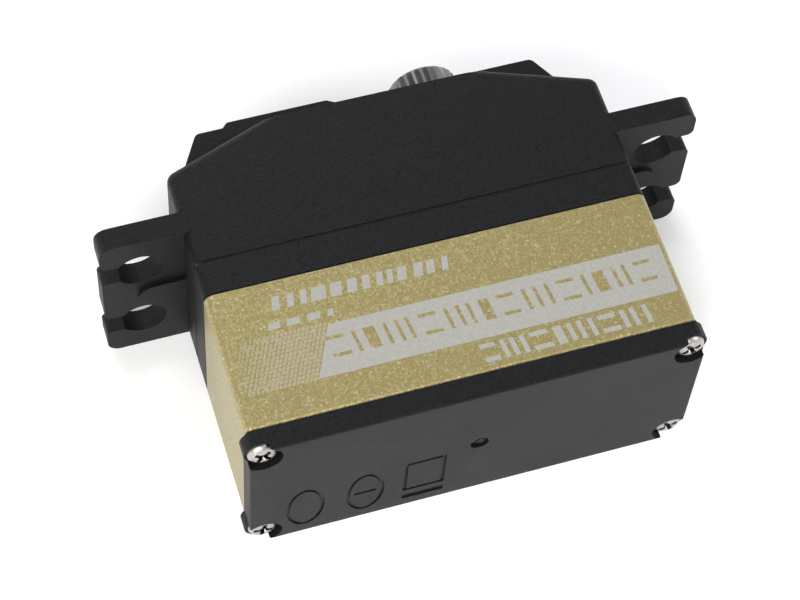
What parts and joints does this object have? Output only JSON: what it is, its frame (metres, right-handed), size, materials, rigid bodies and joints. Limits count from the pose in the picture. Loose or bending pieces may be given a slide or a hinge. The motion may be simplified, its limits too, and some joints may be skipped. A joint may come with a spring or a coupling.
{
  "type": "servo motor",
  "caption": "Small digital servo motor: slim rectangular case with slotted mounting lugs, toothed output shaft, reduction gears, coreless motor and position sensor inside.",
  "frame": {"origin": "centre of the rectangle of lug holes, on the lugs' seating face (their underside)", "axes": "+X along the case towards the output shaft, +Y up the output shaft, +Z out of the broad side that faces up as the servo lies on its other broad side"},
  "size_m": [0.0492, 0.0334, 0.0154],
  "materials": {
    "black_case": "fine grained matt",
    "gold_case": "satin metallic",
    "gasket": "matt",
    "gland": "matt",
    "nickel_screw": "bright nickel",
    "dark_screw": "satin",
    "titanium_gear": "satin",
    "output_steel": "satin",
    "pin_steel": "polished",
    "bearing_steel": "polished",
    "bronze": "satin",
    "motor_steel": "satin",
    "motor_plastic": "matt",
    "magnet": "satin",
    "copper_winding": "enamelled",
    "contact": "bright",
    "carbon_track": "matt",
    "wiper_plastic": "gloss",
    "board": "gloss",
    "chip": "matt",
    "crystal_can": "bright",
    "capacitor_can": "satin"
  },
  "bodies": {
    "case": {"upper_case": "black_case", "middle_frame": "black_case", "centre_case": "gold_case", "bottom_cover": "black_case", "gearbox_gasket": "gasket", "cover_gasket": "gasket", "cable_gland": "gland", "case_screws": "nickel_screw", "motor_screws": "dark_screw", "gear_pin": "pin_steel", "thrust_washers": "bronze", "upper_bearing_outer_ring": "bearing_steel", "upper_bearing_balls": "bearing_steel", "lower_bearing_outer_ring": "bearing_steel", "lower_bearing_balls": "bearing_steel", "shaft_seal": "gasket", "motor_can": "motor_steel", "motor_front_bushing": "bronze", "motor_end_cap": "motor_plastic", "motor_magnet": "magnet", "motor_terminals": "contact", "sensor_housing": "motor_plastic", "sensor_track": "carbon_track", "sensor_pins": "contact", "circuit_board": "board", "controller_chip": "chip", "motor_driver_chip": "chip", "timing_crystal": "crystal_can", "filter_capacitor": "capacitor_can"},
    "rotor": {"motor_shaft": "pin_steel", "motor_pinion": "titanium_gear", "motor_winding": "copper_winding", "motor_commutator": "copper_winding"},
    "first_gear": {"first_gear_wheel": "titanium_gear", "first_gear_pinion": "titanium_gear"},
    "second_gear": {"second_gear_wheel": "titanium_gear", "second_gear_pinion": "titanium_gear"},
    "third_gear": {"third_gear_wheel": "titanium_gear", "third_gear_pinion": "titanium_gear"},
    "output": {"output_shaft": "output_steel", "output_gear": "titanium_gear", "upper_bearing_inner_ring": "bearing_steel", "lower_bearing_inner_ring": "bearing_steel", "sensor_wiper": "wiper_plastic"}
  },
  "joints": [
    {"name": "rotor_spin", "type": "hinge", "parent": "case", "child": "rotor", "pos_m": [-0.00915, 0, 0], "axis": [0, 1, 0], "range_deg": [-12020, 12020]},
    {"name": "first_gear_spin", "type": "hinge", "parent": "case", "child": "first_gear", "pos_m": [-0.00165, 0, 0], "axis": [0, 1, 0], "range_deg": [-3006, 3006]},
    {"name": "second_gear_spin", "type": "hinge", "parent": "case", "child": "second_gear", "pos_m": [0.00585, 0, 0], "axis": [0, 1, 0], "range_deg": [-752, 752]},
    {"name": "third_gear_spin", "type": "hinge", "parent": "case", "child": "third_gear", "pos_m": [-0.00165, 0, 0], "axis": [0, 1, 0], "range_deg": [-237.5, 237.5]},
    {"name": "output_spin", "type": "hinge", "parent": "case", "child": "output", "pos_m": [0.00585, 0, 0], "axis": [0, 1, 0], "range_deg": [-90, 90]}
  ],
  "couplings": [
    {"joint": "first_gear_spin", "follows": "rotor_spin", "ratio": -0.25},
    {"joint": "second_gear_spin", "follows": "rotor_spin", "ratio": 0.0625},
    {"joint": "third_gear_spin", "follows": "rotor_spin", "ratio": -0.019737},
    {"joint": "output_spin", "follows": "rotor_spin", "ratio": 0.0074864}
  ]
}
